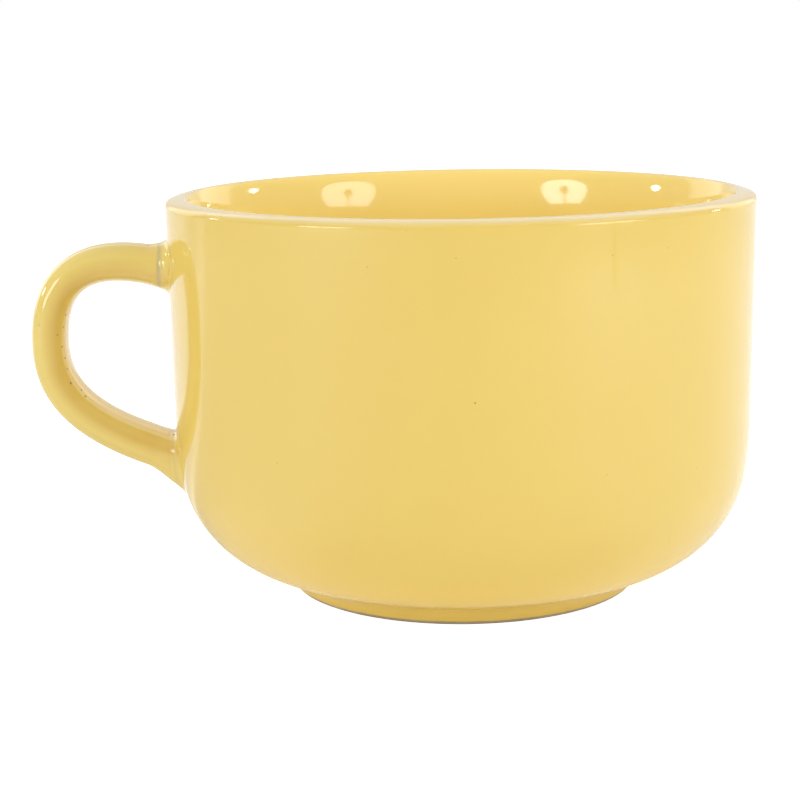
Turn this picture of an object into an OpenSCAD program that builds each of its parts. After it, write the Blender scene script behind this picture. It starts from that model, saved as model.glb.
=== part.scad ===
// A wide soup mug of glazed stoneware: a turned bowl with its foot ring, a strap handle luted on with two
// slip collars, and the glass coats that were poured inside, dipped outside and wiped off the foot.
// The origin is the centre of the foot's resting face, +Z is up, and the handle points to -X.
// Every size is a fired size in millimetres, and the bowl's outer sizes are taken over the glaze.

/* [Bowl] */
// Diameter at the lower end of the straight wall, over the glaze
bowl_d = 127.1; // [120:0.1:140]
// Height from the table to the crest of the lip
mug_h = 86.7; // [82:0.1:96]
// Lean of the upper wall from upright, in degrees
wall_lean = 0.54; // [0:0.02:2]
// Thickness of the clay wall
wall = 5.7; // [4.6:0.1:6.6]
// Thickness of the glaze coats
glaze = 0.4; // [0.2:0.1:0.7]

/* [Lip] */
// Radius of the lip's outer corner
lip_corner = 1; // [0.8:0.1:1.4]
// Angle through which the outer corner turns, in degrees from the wall
lip_turn = 68; // [60:1:74]
// Radius of the dome over the lip's outer half
lip_dome = 9; // [7:0.5:10]
// Height over which the inner wall sweeps in to the lip's crest
lip_h = 16; // [12:0.5:20]

/* [Curves of the wall] */
// Radius of the barrel curve below the straight wall
barrel_round = 80; // [60:1:110]
// Slope of the wall where the barrel curve ends, in degrees from upright
barrel_turn = 8.2; // [6:0.1:14]
// Radius of the shoulder
shoulder_round = 25; // [22:0.1:28]
// Radius of the underside between the shoulder and the foot
under_round = 127; // [110:1:160]
// Width of the underside between the shoulder and the foot
under_w = 6.8; // [5:0.1:9]

/* [Foot] */
// Diameter of the foot ring where it meets the underside
foot_d = 79; // [70:0.2:82]
// Height of the foot ring
foot_h = 3.8; // [3:0.1:5]
// Inward lean of the foot ring's outer wall, from its top to the table
foot_draft = 0.7; // [0.1:0.1:1.6]
// Width of the foot ring on the table
foot_w = 4.6; // [3.6:0.1:6]
// Depth of the recess inside the foot ring
recess = 3; // [2:0.1:4]
// Rounding of the foot ring's lower edges
foot_round = 0.7; // [0.5:0.1:1.2]
// Rounding of the corner inside the recess
recess_round = 1.4; // [1:0.1:2]
// Height of the bare clay that is wiped clean above the table
bare_h = 0.8; // [0.7:0.1:1.8]

/* [Handle] */
// Depth of the handle's upper root below the lip
root_drop = 15.8; // [14:0.2:19]
// Height of the lower root above the upper end of the shoulder
root_seat = 3.7; // [3:0.1:8]
// Overhang of the handle's centre line from the rim
reach = 26.4; // [23:0.2:34]
// Depth of the outermost point below the upper root
grip_drop = 16; // [14:0.1:20]
// Rise of the upper run as it leaves the wall, in degrees
upper_rise = 16; // [8:0.1:22]
// Rise of the lower run as it leaves the wall, in degrees
lower_rise = 17.2; // [8:0.1:26]
// Pull of the upper run along its rise
upper_pull = 8; // [6:0.1:12]
// Pull of the lower run along its rise
lower_pull = 22.6; // [16:0.1:26]
// Pull of the grip up from its outermost point
grip_pull_up = 22.4; // [17:0.1:25]
// Pull of the grip down from its outermost point
grip_pull_down = 10.2; // [7:0.1:13]
// Width of the strap over the glaze
strap_w = 13; // [10:0.2:18]
// Thickness of the strap at its roots, over the glaze
root_t = 8.8; // [7:0.1:10]
// Thickness of the strap at the grip, over the glaze
grip_t = 7.8; // [6.4:0.1:9]

/* [Collars] */
// Length of the slip collars, from the wall to the strap
collar_l = 2; // [1.2:0.1:2.8]
// Length over which a collar flares on to the wall
flare_l = 6; // [4:0.1:7]
// Flare on the upper side of the upper root
flare_top = 2.2; // [1:0.1:3]
// Flare on the under side of the upper root
flare_under = 0.6; // [0.2:0.1:1.4]
// Flare at the two sides of each root
flare_side = 1.2; // [0.6:0.1:2]
// Length over which the lower root's under side sweeps into the shoulder
sweep_l = 6.9; // [5:0.1:9]
// Depth by which the lower root's under side sweeps down
sweep_depth = 5.2; // [3:0.1:6]
// Flare on the upper side of the lower root
flare_crook = 0.3; // [0.1:0.1:0.8]

/* [Hidden] */
$fn = 96;

clay_colour = "#e9dcc3";
slip_colour = "#e3d3b4";
inside_colour = "#efcf6e";
outside_colour = "#eacc74";
handle_colour = "#e6c768";

// Steps in one arc of an outline, and stations and sides of the strap
arc_steps = 6;
shoulder_steps = 16;
sweep_steps = 14;
run_steps = 17;
strap_sides = 28;
// Facets of the block that trims the roots, fine enough to lie on the turned wall
block_steps = 240;
// Exponent of the strap's oval section, where 1 is an ellipse and less is squarer
oval_share = 0.8;

// The wall of the clay with a coat on each side
coated = wall + 2 * glaze;
foot_r = foot_d / 2;

// Unit vector at an angle, in the plane of an outline
function ray(a) = [cos(a), sin(a)];

// Points along an arc, from angle a to angle b
function arc(c, r, a, b, steps) = [for (i = [0:steps]) c + r * ray(a + (b - a) * i / steps)];

// The three curves of the wall run into each other without a corner. The shoulder turns until the underside is
// as wide as it should be, and the bowl is raised until the underside meets the top of the foot ring.
shoulder_x = bowl_d / 2 - barrel_round * cos(wall_lean) + (barrel_round - shoulder_round) * cos(barrel_turn);
shoulder_turn = acos((foot_r + under_w - shoulder_x) / shoulder_round);
under_turn = acos(cos(shoulder_turn) - under_w / under_round);
under_z = foot_h + under_round * sin(under_turn);
under_c = [shoulder_x + (shoulder_round - under_round) * cos(shoulder_turn), under_z];
shoulder_c = under_c + (under_round - shoulder_round) * ray(-shoulder_turn);
barrel_c = shoulder_c + (shoulder_round - barrel_round) * ray(-barrel_turn);
barrel_end = barrel_c + barrel_round * ray(-barrel_turn);

// Straight wall, from the barrel curve up to the rim
straight_z = barrel_c[1] - barrel_round * sin(wall_lean);
rim_r = bowl_d / 2 + (mug_h - straight_z) * tan(wall_lean);

// Radius of the glazed wall at a height above the shoulder's end
function wall_r(z) =
  z > straight_z ? rim_r - (mug_h - z) * tan(wall_lean)
  : z > barrel_end[1] ? barrel_c[0] + sqrt(pow(barrel_round, 2) - pow(z - barrel_c[1], 2))
  : shoulder_c[0] + sqrt(pow(shoulder_round, 2) - pow(z - shoulder_c[1], 2));

// The lip turns over a tight outer corner and a low dome to its crest, and then sweeps down in a quarter of a tall
// ellipse to the inner wall. Dome and ellipse are level where they meet.
corner_z = mug_h - lip_dome + (lip_dome - lip_corner) * sin(lip_turn);
corner_c = [rim_r - (mug_h - corner_z) * tan(wall_lean) - lip_corner / cos(wall_lean), corner_z];
dome_c = corner_c - (lip_dome - lip_corner) * ray(lip_turn);
lip_x = dome_c[0];
inner_c = [barrel_c[0] + (barrel_round - coated) * cos(wall_lean), straight_z + coated * sin(wall_lean)];
inner_top = mug_h - lip_h;
lip_w = lip_x - inner_c[0] - (inner_top - inner_c[1]) * tan(wall_lean);

// Point of the inner lip at a share t of its sweep from the crest, at a depth below the glazed surface
function sweep_point(t, depth) =
  let (a = 90 + 90 * pow(t, 3 / 2))
  [lip_x + lip_w * cos(a), inner_top + lip_h * sin(a)] - depth * unit([cos(a) / lip_w, sin(a) / lip_h]);

// Outer outline from the foot ring to the crest of the lip, at a depth below the glazed surface
function outer_line(depth) =
  let (
    under_r = under_round - depth,
    start = -acos((foot_r - depth - under_c[0]) / under_r)
  )
  concat(
    arc(under_c, under_r, start, -shoulder_turn, arc_steps),
    arc(shoulder_c, shoulder_round - depth, -shoulder_turn, -barrel_turn, shoulder_steps),
    arc(barrel_c, barrel_round - depth, -barrel_turn, -wall_lean, arc_steps),
    arc(corner_c, lip_corner - depth, -wall_lean, lip_turn, arc_steps),
    [for (i = [1:arc_steps]) dome_c + (lip_dome - depth) * ray(lip_turn + (90 - lip_turn) * i / arc_steps)]
  );

// Inner outline from the crest of the lip to the axis, at a depth below the glazed surface
function inner_line(depth) =
  let (shoulder_r = shoulder_round - coated + depth)
  concat(
    [for (i = [0:sweep_steps]) sweep_point(i / sweep_steps, depth)],
    arc(barrel_c, barrel_round - coated + depth, -wall_lean, -barrel_turn, arc_steps),
    arc(shoulder_c, shoulder_r, -barrel_turn, -90, shoulder_steps),
    [[0, shoulder_c[1] - shoulder_r]]
  );

// Foot ring: its outer wall from the table to the underside, and its inner wall up into the recess
foot_top = [foot_r - glaze, outer_line(glaze)[0][1]];
foot_out = foot_r - glaze - foot_draft;
foot_in = foot_out - foot_w;

function foot_line() = concat(
  [[0, recess]],
  arc([foot_in - recess_round, recess - recess_round], recess_round, 90, 0, arc_steps),
  arc([foot_in + foot_round, foot_round], foot_round, 180, 270, arc_steps),
  arc([foot_out - foot_round, foot_round], foot_round, 270, 360, arc_steps)
);

module mug_body() {
  color(clay_colour)
    rotate_extrude()
      polygon(concat(foot_line(), outer_line(glaze), inner_line(glaze)));
}

// The bowl with its hollow filled, which trims what stands on the wall
module bowl_block(depth) {
  rotate_extrude($fn = block_steps)
    polygon(concat([[0, foot_h]], outer_line(depth), [[0, mug_h - depth]]));
}

module inside_glaze() {
  color(inside_colour)
    rotate_extrude()
      polygon(concat(inner_line(0), reversed(inner_line(glaze))));
}

function reversed(list) = [for (i = [len(list) - 1:-1:0]) list[i]];

// Radius of the foot ring's bare outer wall at the height where the coat ends
function foot_wall_r(z) = foot_out + foot_draft * (z - foot_round) / (foot_top[1] - foot_round);

module outside_glaze() {
  edge = [[foot_wall_r(bare_h) + glaze, bare_h], [foot_wall_r(bare_h), bare_h]];
  color(outside_colour)
    difference() {
      rotate_extrude()
        polygon(concat([edge[0]], outer_line(0), reversed(outer_line(glaze)), [edge[1]]));
      root(upper_run, upper_roots, 0);
      root(lower_run, lower_roots, 0);
    }
}

module base_glaze() {
  corner = [foot_in - recess_round, recess - recess_round];
  color(outside_colour)
    rotate_extrude()
      polygon(concat(
        [[0, recess - glaze], [0, recess]],
        arc(corner, recess_round, 90, 0, arc_steps),
        [[foot_in, bare_h], [foot_in - glaze, bare_h]],
        arc(corner, recess_round - glaze, 0, 90, arc_steps)
      ));
}

// Each run of the handle's centre line is one smooth curve from a root to the outermost point, written as
// a list of [distance from the axis, height]
upper_z = mug_h - root_drop;
lower_z = barrel_end[1] + root_seat;
upper_root = [wall_r(upper_z), upper_z];
lower_root = [wall_r(lower_z), lower_z];
outermost = [rim_r + reach, upper_z - grip_drop];
upper_run = [
  upper_root, upper_root + upper_pull * ray(upper_rise), outermost + [0, grip_pull_up], outermost
];
lower_run = [
  lower_root, lower_root + lower_pull * ray(lower_rise), outermost - [0, grip_pull_down], outermost
];

// Point and direction at a share t of a run
function at(run, t) = pow(1 - t, 3) * run[0] + 3 * pow(1 - t, 2) * t * run[1]
  + 3 * (1 - t) * t * t * run[2] + pow(t, 3) * run[3];
function heading(run, t) = unit(pow(1 - t, 2) * (run[1] - run[0]) + 2 * (1 - t) * t * (run[2] - run[1])
  + t * t * (run[3] - run[2]));
function unit(v) = v / norm(v);

// What each root flares by: [up direction along the wall, flare above, flare below, their length]
upper_roots = [wall_way(upper_z), flare_top, flare_under, flare_l];
lower_roots = [wall_way(lower_z), flare_crook, sweep_depth, sweep_l];
function wall_way(z) = unit([wall_r(z + root_t / 2) - wall_r(z - root_t), root_t * 3 / 2]);

// One section of the strap, as a ring of points. At the wall it leans until it lies along the wall.
function ring(run, roots, t, depth) =
  let (
    centre = t < 0 ? run[0] + t * 3 * (run[1] - run[0]) : at(run, t),
    way = heading(run, max(t, 0)),
    away = t < 0 ? 0 : norm(centre - run[0]),
    flare = pow(max(0, 1 - away / roots[3]), 2),
    flare_s = pow(max(0, 1 - away / flare_l), 2),
    lean = max(0, 1 - away / root_t),
    up = unit((1 - lean) * [-way[1], way[0]] + lean * roots[0]),
    half_t = root_t / 2 + (grip_t - root_t) / 2 * sin(90 * min(1, max(0, t))) - depth,
    above = half_t + roots[1] * flare,
    below = half_t + roots[2] * flare,
    half_w = strap_w / 2 - depth + flare_side * flare_s
  )
  [for (k = [0:strap_sides - 1])
    let (
      c = cos(360 * k / strap_sides),
      s = sin(360 * k / strap_sides),
      rise = (c > 0 ? above : below) * sign(c) * pow(abs(c), oval_share),
      p = centre + rise * up
    )
    [-p[0], half_w * sign(s) * pow(abs(s), oval_share), p[1]]];

// Share of a run that is as long as a length near its root. A length below zero lies inside the wall.
function share(run, length) = length / (3 * norm(run[1] - run[0]));
function collar_t(run) = share(run, collar_l);

// Rings of a collar from inside the wall, where it is trimmed, to the strap, and of a run from its collar to
// the outermost point. The second ring lies in the middle of the coat.
function collar_rings(run, roots, depth) =
  [for (t = [share(run, -wall / 2), share(run, -glaze / 2), collar_t(run) / 2, collar_t(run)])
    ring(run, roots, t, depth)];
function run_rings(run, roots, depth) =
  [for (i = [0:run_steps])
    ring(run, roots, collar_t(run) + (1 - collar_t(run)) * pow(i / run_steps, 3 / 2), depth)];

// The lower run climbs to the outermost point, so its rings are turned over to follow on from the upper's
function turned(rings) =
  [for (r = reversed(rings)) [for (k = [0:strap_sides - 1]) r[(strap_sides * 3 / 2 - k) % strap_sides]]];
function strap_rings(depth) = concat(
  run_rings(upper_run, upper_roots, depth),
  [for (i = [1:run_steps]) turned(run_rings(lower_run, lower_roots, depth))[i]]
);
function whole_rings(depth) = concat(
  [for (i = [0:2]) collar_rings(upper_run, upper_roots, depth)[i]],
  strap_rings(depth),
  [for (i = [1:3]) turned(collar_rings(lower_run, lower_roots, depth))[i]]
);

// Triangles between successive rings, numbered from the first point of the first ring
function skin(rings, first = 0) = [
  for (i = [0:len(rings) - 2], k = [0:strap_sides - 1])
    let (
      a = first + i * strap_sides + k,
      b = first + i * strap_sides + (k + 1) % strap_sides
    )
    each [[a, a + strap_sides, b], [b, a + strap_sides, b + strap_sides]]
];

// A closed solid through a list of rings
module tube(rings) {
  last = (len(rings) - 1) * strap_sides;
  polyhedron(
    points = [for (r = rings) each r],
    faces = concat(
      skin(rings),
      [[for (k = [0:strap_sides - 1]) k]],
      [[for (k = [strap_sides - 1:-1:0]) last + k]]
    )
  );
}

module root(run, roots, depth) {
  tube(collar_rings(run, roots, depth));
}

module handle() {
  color(clay_colour)
    tube(strap_rings(glaze));
}

module upper_handle_joint() {
  color(slip_colour)
    difference() {
      root(upper_run, upper_roots, glaze);
      bowl_block(glaze);
    }
}

module lower_handle_joint() {
  color(slip_colour)
    difference() {
      root(lower_run, lower_roots, glaze);
      bowl_block(glaze);
    }
}

module handle_glaze() {
  color(handle_colour)
    difference() {
      tube(whole_rings(0));
      tube(whole_rings(glaze));
      bowl_block(glaze);
    }
}

mug_body();
handle();
upper_handle_joint();
lower_handle_joint();
inside_glaze();
outside_glaze();
handle_glaze();
base_glaze();
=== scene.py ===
from math import acos, atan2, cos, degrees, exp, pi, radians, sin, sqrt, tan
from random import Random

import bmesh
import bpy
from mathutils import Matrix, Vector


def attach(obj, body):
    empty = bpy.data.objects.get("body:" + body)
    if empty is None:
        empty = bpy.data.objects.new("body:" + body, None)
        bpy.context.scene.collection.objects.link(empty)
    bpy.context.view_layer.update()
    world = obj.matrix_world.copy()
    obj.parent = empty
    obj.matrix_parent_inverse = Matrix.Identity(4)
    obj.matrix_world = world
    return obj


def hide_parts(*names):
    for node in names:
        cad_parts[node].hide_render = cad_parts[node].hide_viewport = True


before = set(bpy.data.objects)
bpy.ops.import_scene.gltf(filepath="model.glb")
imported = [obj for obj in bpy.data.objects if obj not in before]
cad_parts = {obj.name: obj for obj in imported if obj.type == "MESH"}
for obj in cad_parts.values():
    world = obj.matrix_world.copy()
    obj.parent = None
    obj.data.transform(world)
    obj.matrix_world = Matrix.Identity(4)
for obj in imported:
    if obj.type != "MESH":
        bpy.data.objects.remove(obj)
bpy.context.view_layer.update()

# The bowl is one piece of buff stoneware, shaped on a wheel: a nearly straight wall, a deep round shoulder,
# a low turned foot ring, and a wall that thins towards the lip. Only the foot's resting face is left bare.
mm = 0.001
bowl_d = 127.1 * mm
mug_h = 86.7 * mm
wall_lean = 0.54
coated_wall = 6.5 * mm
glaze = 0.4 * mm
barrel_round = 80 * mm
barrel_turn = 8.2
shoulder_round = 25 * mm
under_round = 127 * mm
under_w = 6.8 * mm
foot_d = 79 * mm
foot_h = 3.8 * mm
foot_draft = 0.7 * mm
foot_w = 4.6 * mm
recess = 3 * mm
foot_round = 0.7 * mm
recess_round = 1.4 * mm
lip_corner = 1.0 * mm
lip_dome = 9.0 * mm
lip_turn = 68
lip_h = 16 * mm

# Steps along the outlines and round the bowl. Points gather towards the start of the curves that need it.
flat_steps = 6
under_steps = 8
edge_steps = 10
wall_steps = 12
dome_steps = 16
shoulder_steps = 40
basin_steps = 48
lip_steps = 64
gather = 1.5
turns = 288
sharp_angle = 35
closing = 0.0001 * mm


def ray(angle):
    """Unit vector at an angle in degrees, in the plane of an outline."""
    return Vector((cos(radians(angle)), sin(radians(angle))))


def arc(centre, radius, start, end, steps):
    """Points along an arc of an outline."""
    return [centre + radius * ray(start + (end - start) * i / steps) for i in range(steps + 1)]


def line(start, end, steps):
    """Points from start to end, without either of them."""
    return [start.lerp(end, i / steps) for i in range(1, steps)]


# The curves of the wall run into each other without a corner, from the foot ring up to the rim
foot_r = foot_d / 2
foot_out = foot_r - glaze - foot_draft
foot_in = foot_out - foot_w
recess_corner = Vector((foot_in - recess_round, recess - recess_round))
lean_tan = tan(radians(wall_lean))
lean_cos = cos(radians(wall_lean))
shoulder_x = (bowl_d / 2 - barrel_round * lean_cos
              + (barrel_round - shoulder_round) * cos(radians(barrel_turn)))
shoulder_cos = (foot_r + under_w - shoulder_x) / shoulder_round
shoulder_turn = degrees(acos(shoulder_cos))
under_sin = sin(acos(shoulder_cos - under_w / under_round))
under_c = Vector((shoulder_x + (shoulder_round - under_round) * shoulder_cos,
                  foot_h + under_round * under_sin))
shoulder_c = under_c + (under_round - shoulder_round) * ray(-shoulder_turn)
barrel_c = shoulder_c + (shoulder_round - barrel_round) * ray(-barrel_turn)
straight_z = barrel_c.y - barrel_round * sin(radians(wall_lean))
rim_r = bowl_d / 2 + (mug_h - straight_z) * lean_tan
corner_z = mug_h - lip_dome + (lip_dome - lip_corner) * sin(radians(lip_turn))
corner_c = Vector((rim_r - (mug_h - corner_z) * lean_tan - lip_corner / lean_cos, corner_z))
dome_c = corner_c - (lip_dome - lip_corner) * ray(lip_turn)
inner_c = barrel_c + (barrel_round - coated_wall) * ray(-wall_lean)
lip_w = dome_c.x - inner_c.x - (mug_h - lip_h - inner_c.y) * lean_tan


def outer_line(depth, first_r=foot_r, steps=wall_steps):
    """Outline from a radius beside the foot up to the lip's crest, at a depth below the glazed surface."""
    under = under_round - depth
    start = -degrees(acos((first_r - depth - under_c.x) / under))
    straight = barrel_c + (barrel_round - depth) * ray(-wall_lean)
    return (arc(under_c, under, start, -shoulder_turn, under_steps)
            + arc(shoulder_c, shoulder_round - depth, -shoulder_turn, -barrel_turn, shoulder_steps)[1:]
            + arc(barrel_c, barrel_round - depth, -barrel_turn, -wall_lean, wall_steps)[1:]
            + line(straight, corner_c + (lip_corner - depth) * ray(-wall_lean), steps)
            + arc(corner_c, lip_corner - depth, -wall_lean, lip_turn, wall_steps)
            + arc(dome_c, lip_dome - depth, lip_turn, 90, dome_steps)[1:])


def inner_line(depth):
    """Outline from the lip's crest down to the middle of the floor, at a depth below the glazed surface."""
    lip = []
    for i in range(lip_steps + 1):
        turn = pi / 2 * (1 + (i / lip_steps) ** gather)
        out = Vector((cos(turn) / lip_w, sin(turn) / lip_h)).normalized()
        lip.append(Vector((dome_c.x + lip_w * cos(turn), mug_h - lip_h + lip_h * sin(turn))) - depth * out)
    barrel_r = barrel_round - coated_wall + depth
    basin_r = shoulder_round - coated_wall + depth
    centre = Vector((0, shoulder_c.y - basin_r))
    return (lip + line(lip[-1], barrel_c + barrel_r * ray(-wall_lean), under_steps)
            + arc(barrel_c, barrel_r, -wall_lean, -barrel_turn, wall_steps)
            + arc(shoulder_c, basin_r, -barrel_turn, -90, basin_steps)[1:]
            + line(Vector((shoulder_c.x, centre.y)), centre, under_steps) + [centre])


def recess_line(depth):
    """Outline from the middle of the recess to the foot ring's inner wall, at a depth below the clay."""
    middle = Vector((0, recess - depth))
    return ([middle] + line(middle, Vector((recess_corner.x, middle.y)), flat_steps)
            + arc(recess_corner, recess_round - depth, 90, 0, wall_steps))


def foot_line():
    """Outline from the middle of the recess, round the foot ring and up its outer wall, in bare clay."""
    ring_in = Vector((foot_in + foot_round, foot_round))
    ring_out = Vector((foot_out - foot_round, foot_round))
    down = Vector((0, foot_round))
    return (recess_line(0) + arc(ring_in, foot_round, 180, 270, edge_steps)
            + line(ring_in - down, ring_out - down, flat_steps)
            + arc(ring_out, foot_round, 270, 360, edge_steps)
            + line(Vector((foot_out, foot_round)), outer_line(glaze)[0], flat_steps))


def new_tree(name, kind, inputs, outputs):
    """A tree of nodes with named sockets, and the sockets that its inputs come in by."""
    tree = bpy.data.node_groups.new(name, kind)
    for way, sockets in (("INPUT", inputs), ("OUTPUT", outputs)):
        for socket, value in sockets.items():
            tree.interface.new_socket(socket, in_out=way, socket_type="NodeSocket" + value)
    return tree, tree.nodes.new("NodeGroupInput").outputs


def add_node(tree, kind, *feeds, **settings):
    """A node of a tree. Feeds go to its inputs in order, and settings are its own or those of named inputs.

    An input takes a value, a socket, or a node, which stands for its first output.
    """
    node = tree.nodes.new(kind)
    own = [name for name in settings if hasattr(node, name)]
    for name in own:
        setattr(node, name, settings.pop(name))
    for place, value in [*enumerate(feeds), *settings.items()]:
        socket = node.inputs[place.replace("_", " ") if isinstance(place, str) else place]
        if isinstance(value, bpy.types.Node):
            value = value.outputs[0]
        if isinstance(value, bpy.types.NodeSocket):
            tree.links.new(value, socket)
        elif value is not None:
            socket.default_value = value
    return node


def maths(tree, operation, *values):
    """A sum of one or two values."""
    return add_node(tree, "ShaderNodeMath", *values, operation=operation)


def ranged(tree, value, first, last, least=0, most=1, blend="LINEAR"):
    """A value carried from the range of first to last to that of least to most, and held at the ends."""
    return add_node(tree, "ShaderNodeMapRange", value, first, last, least, most, interpolation_type=blend)


def mixed(tree, share, first, second, blend="MIX"):
    """A colour between two. The sockets between the share and the colours are for other kinds of value."""
    return add_node(tree, "ShaderNodeMix", share, *[None] * 5, first, second, data_type="RGBA",
                    blend_type=blend).outputs[2]


def turning_tree():
    """Geometry Nodes that turn an outline, drawn in the XZ plane, round the Z axis."""
    tree, given = new_tree("turned_on_the_wheel", "GeometryNodeTree",
                           {"Outline": "Geometry", "Turns": "Int", "Corner Angle": "Float",
                            "Closing": "Float", "Finish": "Material"}, {"Turned Form": "Geometry"})
    size = add_node(tree, "GeometryNodeAttributeDomainSize", given["Outline"], component="MESH")
    rows = size.outputs["Point Count"]
    columns = maths(tree, "ADD", given["Turns"], 1)
    grid = add_node(tree, "GeometryNodeMeshGrid", Vertices_X=columns, Vertices_Y=rows)
    index = add_node(tree, "GeometryNodeInputIndex")
    row = maths(tree, "MODULO", index, rows)
    column = maths(tree, "FLOOR", maths(tree, "DIVIDE", index, rows))
    angle = maths(tree, "MULTIPLY", column, maths(tree, "DIVIDE", 2 * pi, given["Turns"]))
    place = add_node(tree, "GeometryNodeInputPosition")
    point = add_node(tree, "GeometryNodeSampleIndex", data_type="FLOAT_VECTOR", domain="POINT",
                     Geometry=given["Outline"], Value=place, Index=row)
    thick = add_node(tree, "GeometryNodeInputNamedAttribute", data_type="FLOAT", Name="coat")
    coat = add_node(tree, "GeometryNodeSampleIndex", data_type="FLOAT", domain="POINT",
                    Geometry=given["Outline"], Value=thick, Index=row)
    spun = add_node(tree, "ShaderNodeVectorRotate", rotation_type="Z_AXIS", Vector=point, Angle=angle)
    moved = add_node(tree, "GeometryNodeSetPosition", Geometry=grid, Position=spun)
    stored = add_node(tree, "GeometryNodeStoreNamedAttribute", data_type="FLOAT", domain="POINT",
                      Geometry=moved, Name="coat", Value=coat)
    closed = add_node(tree, "GeometryNodeMergeByDistance", Geometry=stored, Distance=given["Closing"])
    smooth = add_node(tree, "GeometryNodeSetShadeSmooth", domain="FACE", Geometry=closed)
    bend = add_node(tree, "GeometryNodeInputMeshEdgeAngle").outputs["Unsigned Angle"]
    sharp = add_node(tree, "FunctionNodeCompare", bend, given["Corner Angle"], data_type="FLOAT",
                     operation="GREATER_THAN")
    corners = add_node(tree, "GeometryNodeSetShadeSmooth", domain="EDGE", Geometry=smooth, Selection=sharp,
                       Shade_Smooth=False)
    real = add_node(tree, "GeometryNodeRealizeInstances", corners)
    add_node(tree, "NodeGroupOutput",
             add_node(tree, "GeometryNodeSetMaterial", Geometry=real, Material=given["Finish"]))
    return tree


turning = turning_tree()


def put_in_scene(name, data):
    """An object of the scene, made of a mesh, a lamp or a camera."""
    thing = bpy.data.objects.new(name, data)
    bpy.context.scene.collection.objects.link(thing)
    return thing


def plain_mesh(piece, name):
    """The piece as it is once its modifiers have run, as an object of its own with none of them."""
    bpy.context.view_layer.update()
    mesh = bpy.data.meshes.new_from_object(piece.evaluated_get(bpy.context.evaluated_depsgraph_get()))
    mesh.name = name
    bpy.data.objects.remove(piece)
    return put_in_scene(name, mesh)


def shaped(name, mesh, tree, **values):
    """A plain piece that a tree makes of a mesh. Its inputs are set by their sockets' identifiers."""
    piece = put_in_scene(mesh.name, mesh)
    modifier = piece.modifiers.new("shape", "NODES")
    modifier.node_group = tree
    for item in tree.interface.items_tree:
        key = item.name.replace(" ", "_")
        if item.item_type == "SOCKET" and item.in_out == "INPUT" and key in values:
            modifier[item.identifier] = values[key]
    return plain_mesh(piece, name)


def carry(mesh, name, values, kind="FLOAT", field="value"):
    """Stores a value for each point of a mesh."""
    mesh.attributes.new(name, kind, "POINT").data.foreach_set(field, values)


def turned(name, outline, finish, coat=None):
    """A piece of the bowl, turned from its outline. Coat is the glaze's thickness at each of its points."""
    mesh = bpy.data.meshes.new(name + "_outline")
    mesh.from_pydata([(p.x, 0, p.y) for p in outline], [(i, i + 1) for i in range(len(outline) - 1)], [])
    carry(mesh, "coat", coat or [1.0] * len(outline))
    return shaped(name, mesh, turning, Turns=turns, Corner_Angle=radians(sharp_angle), Closing=closing,
                  Finish=finish)


# Fired clay has a fine grain, a few dark grains and a soft cloud of tone. Here and below, ranges are given
# as (first, last, least, most).
clay_cloud = 90
clay_fine = 2600
clay_tones = (0.35, 0.65, 0.86, 1.06)
grain_dark = 0.7
grain_tone = (0.16, 0.10, 0.06, 1)
grain_size = 1.1 * mm
grain_share = 0.16
clay_bump = 0.05 * mm


def grain_group():
    """Fine grain of fired clay: small dark grains and a soft cloud of tone, with their height."""
    tree, given = new_tree("clay_grain", "ShaderNodeTree",
                           {"Place": "Vector", "Clay": "Color", "Grain": "Color", "Grain Size": "Float",
                            "Grain Share": "Float"}, {"Colour": "Color", "Height": "Float"})
    cells = add_node(tree, "ShaderNodeTexVoronoi", feature="F1", Vector=given["Place"],
                     Scale=maths(tree, "DIVIDE", 1, given["Grain Size"]))
    cloud = add_node(tree, "ShaderNodeTexNoise", Vector=given["Place"], Scale=clay_cloud, Detail=6,
                     Roughness=0.65)
    fine = add_node(tree, "ShaderNodeTexNoise", Vector=given["Place"], Scale=clay_fine, Detail=3)
    dots = ranged(tree, cells.outputs["Distance"], 0, given["Grain Share"], grain_dark, 0)
    tone = ranged(tree, cloud, *clay_tones)
    shade = mixed(tree, 1, given["Clay"], tone, "MULTIPLY")
    add_node(tree, "NodeGroupOutput", mixed(tree, dots, shade, given["Grain"]), fine)
    return tree


clay_grain = grain_group()


def shader(name, **plain):
    """A material with a Principled shader, and that shader, with the plain values given to its sockets."""
    material = bpy.data.materials.new(name)
    material.use_nodes = True
    surface = material.node_tree.nodes["Principled BSDF"]
    for key, value in plain.items():
        surface.inputs[key.replace("_", " ")].default_value = value
    return material, surface


def dress(material, surface, group, bump, bump_h, **values):
    """Feeds a material's shader from a group, which reads the place on the piece and the values given."""
    tree = material.node_tree
    place = add_node(tree, "ShaderNodeTexCoord").outputs["Object"]
    tone = add_node(tree, "ShaderNodeGroup", node_tree=group, Place=place, **values).outputs
    tree.links.new(tone["Colour"], surface.inputs["Base Color"])
    if "Roughness" in tone:
        tree.links.new(tone["Roughness"], surface.inputs["Roughness"])
    lift = add_node(tree, "ShaderNodeBump", Strength=bump, Distance=bump_h, Height=tone["Height"])
    tree.links.new(lift.outputs["Normal"], surface.inputs["Normal"])
    return material


def clay_material(name, clay, roughness, bump):
    """Fired, unglazed clay in a tone of its own."""
    material, surface = shader(name, Roughness=roughness, IOR=1.45)
    return dress(material, surface, clay_grain, bump, clay_bump, Clay=clay, Grain=grain_tone,
                 Grain_Size=grain_size, Grain_Share=grain_share)


# The bare clay's tone is partly its own and partly painted shade, for the dark line where the foot's bare
# edge stands on the floor.
bare_clay = clay_material("bare_clay", clay=(0.45, 0.38, 0.26, 1), roughness=0.82, bump=0.5)
bowl = turned("bowl_clay", foot_line() + outer_line(glaze) + inner_line(glaze)[1:], bare_clay)
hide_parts("mug_body")
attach(bowl, "root")
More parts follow.
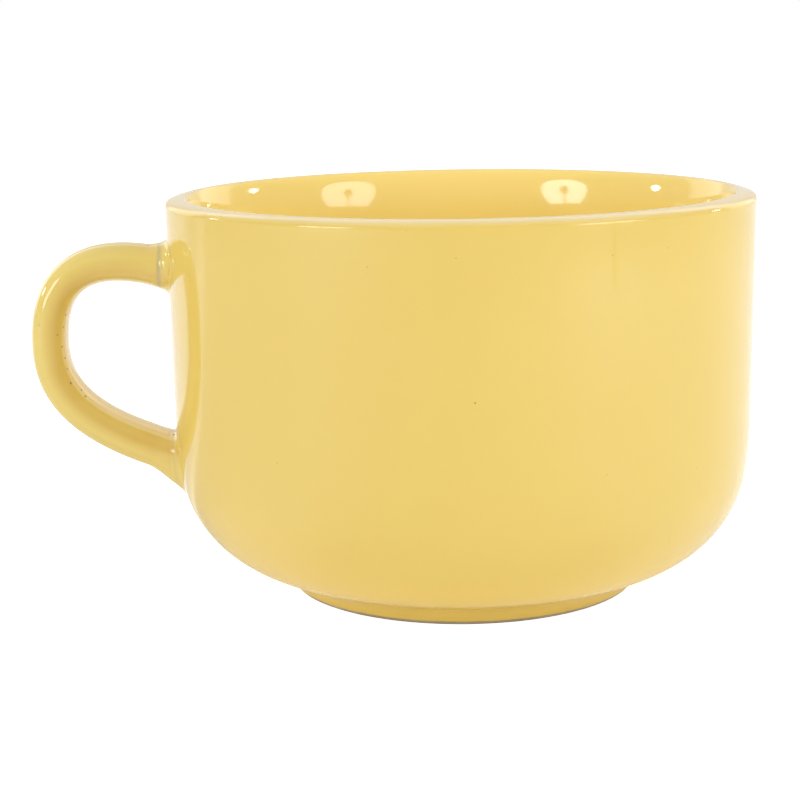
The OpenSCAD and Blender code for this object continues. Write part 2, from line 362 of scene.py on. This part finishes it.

# The inside of the bowl was filled with glaze and poured out, which left an even coat up to the lip's crest.
# The glaze is a glossy honey yellow, paler where the coat ran thin over the lip's edge. Its copy inside is
# painted lighter than the outside's, as painted light in the bowl.
pale = (0.86, 0.68, 0.33, 1)
# The inside's honey and ochre are painted lighter than the outside's, as painted light.
honey_in_painted_lit = (0.94, 0.73, 0.215, 1)
ochre_in_painted_lit = (0.78, 0.52, 0.11, 1)
iron_tone = (0.33, 0.2, 0.08, 1)
# Grey painted along the strap's collar seams, as the shade in their creases.
crease_shade_tone = (0.47, 0.42, 0.24, 1)
glaze_ior = 1.5
glaze_cloud = 38
glaze_swell = 110
glaze_drift = (0.3, 0.7, -0.5, 0.5)
glaze_gloss = (0.3, 0.7, 0.05, 0.085)
fleck_dark = 0.55
fleck_size = 1.6 * mm
fleck_share = 0.05
glaze_relief = 0.6
glaze_bump = 0.02 * mm
lining_thin_h = 0.5 * mm


def glaze_group():
    """Tone of the glaze: pale where the coat is thin, deeper where it pooled, with a cloud and flecks, and
    grey painted as shade where a piece asks for it.
    """
    tree, given = new_tree("glaze_tone", "ShaderNodeTree",
                           {"Place": "Vector", "Coat": "Float", "Thin": "Color", "Full": "Color",
                            "Pooled": "Color", "Iron": "Color", "Cloud": "Float", "Speck Size": "Float",
                            "Speck Share": "Float", "Ash": "Color", "Seam": "Float"},
                           {"Colour": "Color", "Roughness": "Float", "Height": "Float"})
    cloud = add_node(tree, "ShaderNodeTexNoise", Vector=given["Place"], Scale=glaze_cloud, Detail=5,
                     Roughness=0.6)
    drift = ranged(tree, cloud, *glaze_drift)
    depth = maths(tree, "ADD", given["Coat"], maths(tree, "MULTIPLY", drift, given["Cloud"]))
    body = mixed(tree, ranged(tree, depth, 0, 1, blend="SMOOTHSTEP"), given["Thin"], given["Full"])
    deep = mixed(tree, ranged(tree, depth, 1, 2, blend="SMOOTHSTEP"), body, given["Pooled"])
    cells = add_node(tree, "ShaderNodeTexVoronoi", feature="F1", Vector=given["Place"],
                     Scale=maths(tree, "DIVIDE", 1, given["Speck Size"]))
    pick = add_node(tree, "ShaderNodeSeparateColor", cells.outputs["Color"])
    fleck_r = maths(tree, "MULTIPLY", pick, given["Speck Share"])
    flecks = ranged(tree, cells.outputs["Distance"], 0, fleck_r, fleck_dark, 0, "SMOOTHSTEP")
    flecked = mixed(tree, flecks, deep, given["Iron"])
    swell = add_node(tree, "ShaderNodeTexNoise", Vector=given["Place"], Scale=glaze_swell, Detail=2)
    gloss = ranged(tree, swell, *glaze_gloss)
    add_node(tree, "NodeGroupOutput", mixed(tree, given["Seam"], flecked, given["Ash"]), gloss, swell)
    return tree


glaze_tone = glaze_group()


def glaze_material(name, thin_and_lit, full, pooled, cloud=0.25):
    """A glossy glaze over buff stoneware. A piece carries its coat's thickness and the painted grey shade in
    its seams' creases.
    """
    material, surface = shader(name, IOR=glaze_ior)
    # The seam attribute holds the painted grey shade along the collars' creases.
    coat, seam = [add_node(material.node_tree, "ShaderNodeAttribute", attribute_name=carried).outputs["Fac"]
                  for carried in ("coat", "seam")]
    return dress(material, surface, glaze_tone, glaze_relief, glaze_bump, Coat=coat, Seam=seam, Thin=thin_and_lit,
                 Full=full, Pooled=pooled, Iron=iron_tone, Ash=crease_shade_tone, Cloud=cloud, Speck_Size=fleck_size,
                 Speck_Share=fleck_share)


def coat_over(piece, name):
    """Gives a coat's outer surface its thickness, down to the clay."""
    solid = piece.modifiers.new("thickness", "SOLIDIFY")
    solid.thickness = glaze
    solid.offset = -1
    solid.use_even_offset = True
    return plain_mesh(piece, name)


def lip_coat(outline, thin_h):
    """Share of the coat at each point of an outline: none at the crest, full at a depth below it."""
    return [min(1, (mug_h - p.y) / thin_h) for p in outline]


inside_finish = glaze_material("inside_glaze_coat", pale, honey_in_painted_lit, ochre_in_painted_lit)
lining_line = inner_line(0)
lining = turned("inside_coat_face", lining_line, inside_finish, lip_coat(lining_line, lining_thin_h))
lining = coat_over(lining, "inside_coat")
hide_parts("inside_glaze")
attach(lining, "root")

# The handle is a cast strap of the same clay, oval in section. It leaves the wall a little below the lip,
# turns down round the grip and runs back into the shoulder, and two collars of slip hold it to the wall.
root_drop = 15.8 * mm
root_seat = 3.7 * mm
reach = 26.4 * mm
grip_drop = 16 * mm
upper_rise = 16
lower_rise = 17.2
upper_pull = 8 * mm
lower_pull = 22.6 * mm
grip_pull_up = 22.4 * mm
grip_pull_down = 10.2 * mm
strap_w = 13 * mm
root_t = 8.8 * mm
grip_t = 7.8 * mm
flare_l = 6 * mm
flare_top = 2.2 * mm
flare_under = 0.6 * mm
flare_side = 1.2 * mm
flare_crook = 0.3 * mm
sweep_l = 6.9 * mm
sweep_depth = 5.2 * mm
oval_share = 0.8
strap_sides = 96
run_stations = 84
barrel_end = barrel_c + barrel_round * ray(-barrel_turn)


def wall_r(z):
    """Radius of the glazed wall at a height above the end of the shoulder."""
    if z > straight_z:
        return rim_r - (mug_h - z) * lean_tan
    centre, radius = (barrel_c, barrel_round) if z > barrel_end.y else (shoulder_c, shoulder_round)
    return centre.x + sqrt(radius ** 2 - (z - centre.y) ** 2)


upper_z = mug_h - root_drop
lower_z = barrel_end.y + root_seat
upper_root = Vector((wall_r(upper_z), upper_z))
lower_root = Vector((wall_r(lower_z), lower_z))
outermost = Vector((rim_r + reach, upper_z - grip_drop))
upper_run = [upper_root, upper_root + upper_pull * ray(upper_rise),
             outermost + Vector((0, grip_pull_up)), outermost]
lower_run = [lower_root, lower_root + lower_pull * ray(lower_rise),
             outermost - Vector((0, grip_pull_down)), outermost]


def run_at(run, t):
    """Point at a share t of a run of the handle's centre line."""
    return ((1 - t) ** 3 * run[0] + 3 * (1 - t) ** 2 * t * run[1]
            + 3 * (1 - t) * t * t * run[2] + t ** 3 * run[3])


def heading(run, t):
    """Direction of a run at a share t."""
    return ((1 - t) ** 2 * (run[1] - run[0]) + 2 * (1 - t) * t * (run[2] - run[1])
            + t * t * (run[3] - run[2])).normalized()


def wall_way(z):
    """Upward direction along the wall beside a root."""
    return Vector((wall_r(z + root_t / 2) - wall_r(z - root_t), root_t * 3 / 2)).normalized()


upper_flares = (wall_way(upper_z), flare_top, flare_under, flare_l)
lower_flares = (wall_way(lower_z), flare_crook, sweep_depth, sweep_l)


def strap_ring(run, flares, t, grow):
    """One section of the strap, as a ring of points, grown over its plain size."""
    wall_up, flare_above, flare_below, flare_reach = flares
    centre = run_at(run, t)
    way = heading(run, t)
    away = (centre - run[0]).length
    flare = max(0, 1 - away / flare_reach) ** 2
    flare_s = max(0, 1 - away / flare_l) ** 2
    lean = max(0, 1 - away / root_t)
    up = ((1 - lean) * Vector((-way.y, way.x)) + lean * wall_up).normalized()
    half_t = root_t / 2 + (grip_t - root_t) / 2 * sin(pi / 2 * t) + grow
    half_w = strap_w / 2 + flare_side * flare_s + grow
    points = []
    for k in range(strap_sides):
        c = cos(2 * pi * k / strap_sides)
        s = sin(2 * pi * k / strap_sides)
        half = half_t + flare_above * flare if c > 0 else -half_t - flare_below * flare
        side = half_w * (1 if s > 0 else -1) * abs(s) ** oval_share
        point = centre + half * abs(c) ** oval_share * up
        points.append(Vector((-point.x, side, point.y)))
    return points


# The glaze over the strap and its collars was dipped in one go. It runs out over the wall in a small fillet,
# and a shallow line shows where each collar of slip ends, with grey painted along it as the shade in its
# crease. On the inner face the coat ran thin, and its pale there also paints in the light that the face
# catches off the wall.
fillet = 1.2 * mm
fillet_steps = 8
settle_l = 2.5 * fillet
seam_deep = 0.075 * mm
seam_w = 0.7 * mm
seam_sharp = 2.4
seam_steps = 6
seam_clear = 1.08 * fillet
laid_in = 0.05 * mm
upper_seam = 1.9 * mm
lower_seam = 1.6 * mm
honey_out = (0.77, 0.56, 0.13, 1)
ochre_out = (0.70, 0.46, 0.09, 1)
peach = (0.95, 0.807, 0.441, 1)
# The strap's copy of the glaze is painted a little lighter than the wall's, as painted light.
honey_strap_painted_lit = (0.79, 0.605, 0.165, 1)
strap_cloud = 0.3
# The inner face is pale where the coat ran thin, and the pale also paints in the light it catches off the
# wall.
thin_and_lit_at = 37
thin_and_lit_w = 9
thin_and_lit_share = 0.9
pooled_at = 75
pooled_w = 20
pooled_share = 0.6
# Painted grey shade along each collar's seam line, and how wide it is.
upper_painted_grey = 0.65
lower_painted_grey = 0.25
painted_grey_w = 0.65 * seam_w


def bell(off, width):
    """Height of a bell curve that is 1 in its middle."""
    return exp(-(off / width) ** 2)


def fillet_rise(away):
    """Height of the fillet of glaze at a distance from the wall."""
    return fillet - sqrt(fillet ** 2 - (fillet - away) ** 2) if away < fillet else 0


def run_skin(run, flares, seam_at):
    """Rings of the glaze's surface, from the wall to the outermost point. The first lies in the wall."""
    pull = 3 * (run[1] - run[0]).length
    aways = [fillet * (1 - cos(pi / 2 * i / fillet_steps)) for i in range(fillet_steps + 1)]
    near_seam = [seam_at + seam_w * (i / seam_steps - 1) for i in range(2 * seam_steps + 1)]
    shares = [away / pull for away in aways + [away for away in near_seam if away > seam_clear]]
    first = shares[-1]
    shares += [first + (1 - first) * (i / run_stations) ** gather for i in range(1, run_stations + 1)]
    foot = strap_ring(run, flares, 0, fillet)
    sink = [-sqrt((wall_r(p.z) - laid_in) ** 2 - p.y ** 2) - p.x for p in foot]
    rings = []
    for t in shares:
        away = (run_at(run, t) - run[0]).length
        settle = max(0, 1 - away / settle_l) ** 2
        seam = seam_deep * bell(away - seam_at, seam_w / seam_sharp)
        ring = strap_ring(run, flares, t, fillet_rise(away) - seam)
        rings.append([Vector((p.x + settle * d, p.y, p.z)) for p, d in zip(ring, sink)])
    return rings


def turned_over(rings):
    """Rings in the other order, each turned over to follow on from the upper run's."""
    sides = [(strap_sides * 3 // 2 - k) % strap_sides for k in range(strap_sides)]
    return [[ring[side] for side in sides] for ring in rings[::-1]]


def strap_coat_and_light(k):
    """Share of the coat round the strap: it ran thin over the inner face and pooled beside it. The thin
    share's pale also paints in light on the inner face.
    """
    off = abs(360 * k / strap_sides - 180)
    thin_and_lit = bell(max(0, off - thin_and_lit_at), thin_and_lit_w)
    return 1 - thin_and_lit_share * thin_and_lit + pooled_share * bell(off - pooled_at, pooled_w)


def painted_crease_shade(end, seam_at, painted_grey):
    """Painted grey shade of each ring of the strap, for the crease of the collar beside the ring at one end.
    """
    aways = [(sum(ring, Vector()) / strap_sides - sum(end, Vector()) / strap_sides).length for ring in skin]
    return [painted_grey * bell(away - seam_at - seam_w / 4, painted_grey_w) for away in aways]


upper_skin = run_skin(upper_run, upper_flares, upper_seam)
lower_skin = run_skin(lower_run, lower_flares, lower_seam)
skin = upper_skin + turned_over(lower_skin)[1:]
painted_greys = [max(pair) for pair in zip(painted_crease_shade(skin[0], upper_seam, upper_painted_grey),
                                   painted_crease_shade(skin[-1], lower_seam, lower_painted_grey))]
strap_faces = []
for i in range(len(skin) - 1):
    for k in range(strap_sides):
        a = i * strap_sides + k
        b = i * strap_sides + (k + 1) % strap_sides
        strap_faces.append((a, b, b + strap_sides, a + strap_sides))
strap_mesh = bpy.data.meshes.new("handle_coat_face")
strap_mesh.from_pydata([p for ring in skin for p in ring], [], strap_faces)
strap_mesh.polygons.foreach_set("use_smooth", [True] * len(strap_faces))
strap_mesh.materials.append(glaze_material("handle_glaze_coat", peach, honey_strap_painted_lit, ochre_out, strap_cloud))
carry(strap_mesh, "coat", [strap_coat_and_light(k) for ring in skin for k in range(strap_sides)])
# The seam attribute carries each ring's painted grey shade.
carry(strap_mesh, "seam", [painted_grey for painted_grey in painted_greys for k in range(strap_sides)])
strap = coat_over(put_in_scene("handle_coat_face", strap_mesh), "handle_coat")
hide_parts("handle_glaze")
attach(strap, "root")

# Under the glaze the strap is bare cast clay, and each collar is a ring of slip that was brushed round the
# joint when the handle was luted on. The glaze hides all three, so they only get their finish here.
slip_clay = clay_material("slip_clay", clay=(0.62, 0.52, 0.38, 1), roughness=0.85, bump=0.8)
for node, finish in (("handle", bare_clay), ("upper_handle_joint", slip_clay),
                     ("lower_handle_joint", slip_clay)):
    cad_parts[node].data.materials.clear()
    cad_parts[node].data.materials.append(finish)

# The outside of the bowl was dipped up to the same crest. The coat stops short of the foot's resting face,
# where it was wiped off, and gathers in the corner over the foot. The handle's roots stand in two windows.
cove_r = 4.4 * mm
coat_end = 0.9 * mm
cove_steps = 14
dipped_steps = 44
dip_thin_h = 1.2 * mm
window_margin = 4 * laid_in


def foot_wall_r(z):
    """Radius of the foot ring's bare outer wall at a height."""
    return foot_out + foot_draft * (z - foot_round) / (outer_line(glaze)[0].y - foot_round)


def in_root(y, z, ring, margin):
    """Says whether a point of the wall lies within a root's ring, less a margin."""
    inside = False
    middle = sum(p.z for p in ring) / len(ring)
    for p, q in zip(ring, ring[1:] + ring[:1]):
        a = Vector((p.y, p.z - middle))
        b = Vector((q.y, q.z - middle))
        a -= margin * a.normalized()
        b -= margin * b.normalized()
        if (a.y > z - middle) != (b.y > z - middle):
            if y < a.x + (z - middle - a.y) / (b.y - a.y) * (b.x - a.x):
                inside = not inside
    return inside


# The cove of glaze touches the coat on the foot's wall and the curve under the bowl
coat_foot = Vector((foot_wall_r(coat_end) + glaze, coat_end))
foot_up = (outer_line(0)[0] - coat_foot).normalized()
foot_side = Vector((foot_up.y, -foot_up.x))
cove_c = coat_foot + cove_r * foot_side
past = (cove_c - under_c).dot(foot_up)
touching = (under_round + cove_r) ** 2 - (cove_c - under_c).length_squared
cove_c -= foot_up * (past + sqrt(past ** 2 + touching))
cove_foot = cove_c - cove_r * foot_side
cove_top = under_c + under_round * (cove_c - under_c).normalized()
cove_turns = [degrees(atan2(p.y, p.x)) for p in (cove_foot - cove_c, cove_top - cove_c)]
outside_line = ([coat_foot] + line(coat_foot, cove_foot, edge_steps)
                + arc(cove_c, cove_r, cove_turns[0] % 360, cove_turns[1], cove_steps)
                + outer_line(0, cove_top.x, dipped_steps)[1:])
outside_finish = glaze_material("outside_glaze_coat", pale, honey_out, ochre_out)
dip = turned("outside_coat_face", outside_line, outside_finish, lip_coat(outside_line, dip_thin_h))
shell = bmesh.new()
shell.from_mesh(dip.data)
roots = (upper_skin[0], lower_skin[0])
covered = [face for face in shell.faces if face.calc_center_median().x < -foot_r / 2 and any(
    all(in_root(v.co.y, v.co.z, ring, window_margin) for v in face.verts) for ring in roots)]
bmesh.ops.delete(shell, geom=covered, context="FACES")
shell.to_mesh(dip.data)
shell.free()
dip = coat_over(dip, "outside_coat")
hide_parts("outside_glaze")
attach(dip, "root")

# A few specks of iron from the clay melted into the glaze of the wall, most of them faint, and some pinholes
# are left along the strap's inner edge, where the coat ran thin. Each is a flat bead set almost flush in it,
# and a pinhole's brown is partly the clay in the pit and partly painted shade down in it.
# Specks are given as (turn, height, radius) and pinholes as (ring, side, radius), with the sizes in mm.
speck_places = ((-19.9, 78.0, 0.13), (-1.7, 52.1, 0.22), (-39.1, 38.1, 0.12), (-13.0, 85.0, 0.1),
                (-4.7, 79.8, 0.13), (22.9, 79.1, 0.13), (34.9, 79.5, 0.12), (44.1, 34.0, 0.13),
                (22.2, 36.3, 0.11), (39.2, 19.1, 0.12))
pinhole_places = ((95, 58, 0.2), (99, 58, 0.2), (101, 64, 0.2), (104, 59, 0.22), (110, 57, 0.22),
                  (116, 58, 0.2), (124, 61, 0.3), (131, 56, 0.22), (135, 58, 0.28), (99, 78, 0.14),
                  (34, 92, 0.24), (199, 53, 0.4), (201, 49, 0.4), (203, 59, 0.18))
far_specks = 26
far_from = 60
far_turn = 240
far_lowest = 22
far_highest = 84
far_least = 0.09
far_most = 0.15
speck_seed = 11
bead_flat = 0.18


def bead_tree():
    """Geometry Nodes that set a flat bead on each point, turned to its way out and scaled by its size."""
    tree, given = new_tree("beads_in_the_glaze", "GeometryNodeTree",
                           {"Places": "Geometry", "Flatness": "Float", "Finish": "Material"},
                           {"Beads": "Geometry"})
    ball = add_node(tree, "GeometryNodeMeshIcoSphere", Radius=1, Subdivisions=2)
    squash = add_node(tree, "ShaderNodeCombineXYZ", 1, 1, given["Flatness"])
    flattened = add_node(tree, "GeometryNodeTransform", Geometry=ball, Scale=squash)
    way_out = add_node(tree, "GeometryNodeInputNamedAttribute", data_type="FLOAT_VECTOR", Name="way_out")
    size = add_node(tree, "GeometryNodeInputNamedAttribute", data_type="FLOAT", Name="size")
    aimed = add_node(tree, "FunctionNodeAlignRotationToVector", axis="Z", Vector=way_out)
    set_down = add_node(tree, "GeometryNodeInstanceOnPoints", Points=given["Places"], Instance=flattened,
                        Rotation=aimed, Scale=size)
    smooth = add_node(tree, "GeometryNodeSetShadeSmooth", domain="FACE", Geometry=set_down)
    real = add_node(tree, "GeometryNodeRealizeInstances", smooth)
    add_node(tree, "NodeGroupOutput",
             add_node(tree, "GeometryNodeSetMaterial", Geometry=real, Material=given["Finish"]))
    return tree


beads = bead_tree()


def beads_at(name, places, finish):
    """Beads at places given as (point, way out, radius in mm)."""
    mesh = bpy.data.meshes.new(name + "_places")
    mesh.from_pydata([place for place, way_out, size in places], [], [])
    carry(mesh, "way_out", [c for place, way_out, size in places for c in way_out], "FLOAT_VECTOR", "vector")
    carry(mesh, "size", [size * mm for place, way_out, size in places])
    piece = shaped(name, mesh, beads, Flatness=bead_flat, Finish=finish)
    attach(piece, "root")


def on_wall(turn, z):
    """Point on the glazed wall at an azimuth and a height, with its way out."""
    slope = atan2(wall_r(z + mm / 2) - wall_r(z - mm / 2), mm)
    side = Vector((sin(radians(turn)), -cos(radians(turn)), 0))
    return wall_r(z) * side + Vector((0, 0, z)), side * cos(slope) - Vector((0, 0, sin(slope)))


def on_strap(ring, k):
    """Point of the strap's glaze, with its way out."""
    along = skin[ring + 1][k] - skin[ring - 1][k]
    round_it = skin[ring][(k + 1) % strap_sides] - skin[ring][k - 1]
    middle = sum(skin[ring], Vector()) / strap_sides
    way_out = along.cross(round_it).normalized()
    return skin[ring][k], way_out if way_out.dot(skin[ring][k] - middle) > 0 else -way_out


iron = shader("iron_speck", IOR=glaze_ior, Roughness=0.2, Base_Color=(0.50, 0.34, 0.09, 1))[0]
# A pinhole's brown is partly clay and partly painted shade in the pit.
pinhole = shader("pinhole", IOR=glaze_ior, Roughness=0.4, Base_Color=(0.40, 0.28, 0.12, 1))[0]
chance = Random(speck_seed)
specks = [(*on_wall(turn, z * mm), size) for turn, z, size in speck_places]
for i in range(far_specks):
    turn = far_from + far_turn * (i + chance.random()) / far_specks
    z = chance.uniform(far_lowest, far_highest) * mm
    specks.append((*on_wall(turn, z), chance.uniform(far_least, far_most)))
beads_at("iron_specks", specks, iron)
beads_at("pinholes", [(*on_strap(ring, k), size) for ring, k, size in pinhole_places], pinhole)

# The recess under the bowl was brushed by hand with the same glaze as the outside. The coat runs down inside
# the foot ring and stops short of the table.
bare_h = 0.8 * mm
base = turned("base_coat_face", recess_line(glaze) + [Vector((foot_in - glaze, bare_h))], outside_finish)
base = coat_over(base, "base_coat")
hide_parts("base_glaze")
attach(base, "root")

# The floor is a seamless white sweep, which holds a faint shadow where the foot stands on it. To glossy rays
# it glows with painted pools of light where lamps would light it and painted pools of shade, as (turn,
# strength) round the mug, and with a painted shadow under the mug. A ring of it beside the foot glows for
# diffuse rays, as painted light thrown back onto the foot.
floor_w = 6.0
handle_turn = radians(4)
white = (1, 1, 1, 1)
sweep_tone = (0.9, 0.9, 0.9, 1)
sweep_glow = 0.84
painted_pool_light = ((-180, 0.42), (-127, 0.42), (-122, 0.1), (-117, 0.15), (-113, 0.46), (-111, 0.46),
              (-108, 0.03), (-96, 0.05), (-75, 0.42), (-51, 0.8), (-25, 0.3), (-4, 0.1), (22, 0.3),
              (48, 0.75), (95, 0.45), (180, 0.45))
painted_mug_shadow = (0.045, 0.095, 0.3, 1)
bounce_ring_inner = (0.0405, 0.043, 0, 0.32)
bounce_ring_outer = (0.05, 0.085, 1, 0)

floor_mesh = bpy.data.meshes.new("floor")
floor_mesh.from_pydata([(-floor_w, -floor_w, 0), (floor_w, -floor_w, 0), (floor_w, floor_w, 0),
                        (-floor_w, floor_w, 0)], [], [(0, 1, 2, 3)])
floor = put_in_scene("floor", floor_mesh)
sweep, paper = shader("white_sweep", Roughness=0.9, Base_Color=sweep_tone, Specular_IOR_Level=0)
tree = sweep.node_tree
rays = add_node(tree, "ShaderNodeLightPath").outputs
on_sweep = add_node(tree, "ShaderNodeTexCoord").outputs["Object"]
on_turned = add_node(tree, "ShaderNodeVectorRotate", rotation_type="Z_AXIS", Vector=on_sweep,
                     Angle=handle_turn)
flat = add_node(tree, "ShaderNodeSeparateXYZ", on_turned).outputs
side_angle = maths(tree, "ARCTAN2", flat["X"], maths(tree, "MULTIPLY", flat["Y"], -1))
painted_pools = add_node(tree, "ShaderNodeValToRGB", ranged(tree, side_angle, -pi, pi))
while len(painted_pools.color_ramp.elements) < len(painted_pool_light):
    painted_pools.color_ramp.elements.new(0.5)
for stop, (turn, light) in zip(painted_pools.color_ramp.elements, painted_pool_light):
    stop.position = turn / 360 + 0.5
    stop.color = (light, light, light, 1)
# Painted reflection: the glow that glossy rays see follows the painted pools and the painted shadow under
# the mug.
out_from_mug = add_node(tree, "ShaderNodeVectorMath", on_sweep, operation="LENGTH").outputs["Value"]
painted_sweep_light = maths(tree, "MULTIPLY", painted_pools, ranged(tree, out_from_mug, *painted_mug_shadow, "SMOOTHSTEP"))
mirrored = maths(tree, "MAXIMUM", rays["Is Glossy Ray"], rays["Is Transmission Ray"])
backdrop_and_painted_shine = maths(tree, "MAXIMUM", maths(tree, "MULTIPLY", rays["Is Camera Ray"], sweep_glow),
                    maths(tree, "MULTIPLY", mirrored, painted_sweep_light))
# Painted bounce light: a ring beside the foot glows for diffuse rays.
painted_bounce_ring = maths(tree, "MULTIPLY", ranged(tree, out_from_mug, *bounce_ring_inner, "SMOOTHSTEP"),
                 ranged(tree, out_from_mug, *bounce_ring_outer, "SMOOTHSTEP"))
backdrop_and_painted_glow = maths(tree, "MAXIMUM", backdrop_and_painted_shine, maths(tree, "MULTIPLY", rays["Is Diffuse Ray"], painted_bounce_ring))
backdrop_and_painted_light = add_node(tree, "ShaderNodeEmission", Color=white, Strength=backdrop_and_painted_glow)
both = add_node(tree, "ShaderNodeAddShader", paper, backdrop_and_painted_light)
tree.links.new(both.outputs[0], tree.nodes["Material Output"].inputs["Surface"])
floor_mesh.materials.append(sweep)

# The studio is white all round, and a little dimmer where it only lights the mug. The glaze mirrors it a
# little warmer, and up to the lamps' height it mirrors a dimmer room in front and brighter walls at the
# back, on both sides of the part that is straight behind the mug.
room_level = 0.72
room_warm = (1, 0.95, 0.88, 1)
room_side = (-0.6, -0.52, -0.9, 0.35)
room_back = (-0.93, -0.86, 1, 0)
room_low = (0.35, 0.6, 1, 0)

studio = bpy.data.worlds.new("studio")
bpy.context.scene.world = studio
studio.use_nodes = True
air = studio.node_tree
rays = add_node(air, "ShaderNodeLightPath").outputs
looked = add_node(air, "ShaderNodeTexCoord").outputs["Generated"]
height = add_node(air, "ShaderNodeSeparateXYZ", looked).outputs["Z"]
frontward = add_node(air, "ShaderNodeVectorMath", looked, (-sin(handle_turn), -cos(handle_turn), 0),
                     operation="DOT_PRODUCT").outputs["Value"]
room_round = maths(air, "ADD", ranged(air, frontward, *room_side, "SMOOTHSTEP"),
                   ranged(air, frontward, *room_back, "SMOOTHSTEP"))
room_dark = maths(air, "MULTIPLY", room_round, ranged(air, height, *room_low, "SMOOTHSTEP"))
room_left = maths(air, "SUBTRACT", 1, maths(air, "MULTIPLY", room_dark, rays["Is Glossy Ray"]))
direct = maths(air, "MAXIMUM", rays["Is Camera Ray"], rays["Is Glossy Ray"])
direct = maths(air, "MAXIMUM", direct, rays["Is Transmission Ray"])
strength = maths(air, "MULTIPLY", ranged(air, direct, 0, 1, room_level), room_left)
glow = air.nodes["Background"]
air.links.new(mixed(air, rays["Is Glossy Ray"], white, room_warm), glow.inputs["Color"])
air.links.new(strength.outputs[0], glow.inputs["Strength"])

# The camera stands a little above the rim, 0.42 m away, and looks slightly down on the mug. The handle, on
# its left, points a little away from it.
cam_away = 0.42074
cam_up = 0.12399
cam_pitch = 0.19655
cam_roll = -0.0167
cam_yaw = -0.0327
cam_lens = 86.44
cam_sensor = 36
cam_near = 0.01
turn_back = Matrix.Rotation(-handle_turn, 3, "Z")
forward = Vector((sin(cam_yaw) * cos(cam_pitch), cos(cam_yaw) * cos(cam_pitch), -sin(cam_pitch)))
right = Vector((cos(cam_yaw), -sin(cam_yaw), 0))
upward = Vector((sin(cam_yaw) * sin(cam_pitch), cos(cam_yaw) * sin(cam_pitch), cos(cam_pitch)))
across = cos(cam_roll) * right + sin(cam_roll) * upward
along = -sin(cam_roll) * right + cos(cam_roll) * upward
cam_data = bpy.data.cameras.new("camera")
cam_data.lens = cam_lens
cam_data.sensor_width = cam_sensor
cam_data.clip_start = cam_near
camera = put_in_scene("camera", cam_data)
bpy.context.scene.camera = camera
pose = Matrix((turn_back @ across, turn_back @ along, turn_back @ -forward)).transposed().to_4x4()
pose.translation = turn_back @ Vector((0, -cam_away, cam_up))
camera.matrix_world = pose

# An umbrella stands on each side of the camera, a small light beside each, and a wide light above. They are
# given as (name, turn, rise, distance, width, power, share of it added in the glaze's reflections). A dark
# head and pole stand before each umbrella and show in the glaze. Their sizes are shares of its distance.
lamps = (("umbrella_right", 55.8, 16.9, 0.6, 0.29, 0.98, 2.2),
         ("umbrella_left", -51.0, 14.6, 1.2, 0.475, 3.85, 1.55),
         ("strip_right", 112.0, 19.0, 0.7, 0.07, 0.25, 0),
         ("strip_left", -104.0, 16.0, 0.7, 0.07, 0.25, 0),
         ("ceiling", 35.0, 68.0, 1.0, 0.5, 0.65, 0))
cool_shine = (0.8, 0.9, 1.6)
housing_tone = (0.03, 0.03, 0.03, 1)
stand_at = 0.93
head_r = 0.035
head_up = 0.055
pole_r = 0.007
head_segments = 16
head_rings = 10
pole_segments = 8
aim = Vector((0, 0, mug_h / 2))

housing = shader("lamp_housing", Base_Color=housing_tone)[0]
for name, side, rise, lamp_away, lamp_d, power, shine_share in lamps:
    lamp_data = bpy.data.lights.new(name, "AREA")
    lamp_data.shape = "DISK"
    lamp_data.size = lamp_d
    lamp_data.energy = power
    lamp = put_in_scene(name, lamp_data)
    level = cos(radians(rise))
    towards = Vector((sin(radians(side)) * level, -cos(radians(side)) * level, sin(radians(rise))))
    towards = turn_back @ towards
    lamp.location = lamp_away * towards + aim
    lamp.rotation_euler = towards.to_track_quat("Z", "Y").to_euler()
    lamp.visible_camera = False
    lamp.visible_glossy = name != "ceiling"
    if shine_share:
        shine = put_in_scene(name + "_shine", lamp_data.copy())
        shine.data.energy = shine_share * power
        shine.data.color = cool_shine
        shine.location = lamp.location
        shine.rotation_euler = lamp.rotation_euler
        shine.visible_camera = False
        shine.visible_diffuse = False
        before = stand_at * lamp_away * towards + aim
        head_size = Matrix.Diagonal((head_r * lamp_away, head_r * lamp_away, head_up * lamp_away, 1))
        shape = bmesh.new()
        bmesh.ops.create_uvsphere(shape, u_segments=head_segments, v_segments=head_rings, radius=1,
                                  matrix=head_size)
        bmesh.ops.create_cone(shape, segments=pole_segments, radius1=pole_r * lamp_away,
                              radius2=pole_r * lamp_away, depth=before.z,
                              matrix=Matrix.Translation((0, 0, -before.z / 2)))
        stand_mesh = bpy.data.meshes.new(name + "_stand")
        shape.to_mesh(stand_mesh)
        shape.free()
        stand_mesh.materials.append(housing)
        stand = put_in_scene(name + "_stand", stand_mesh)
        stand.location = before
        stand.visible_camera = False

bpy.context.scene.view_settings.view_transform = "Standard"
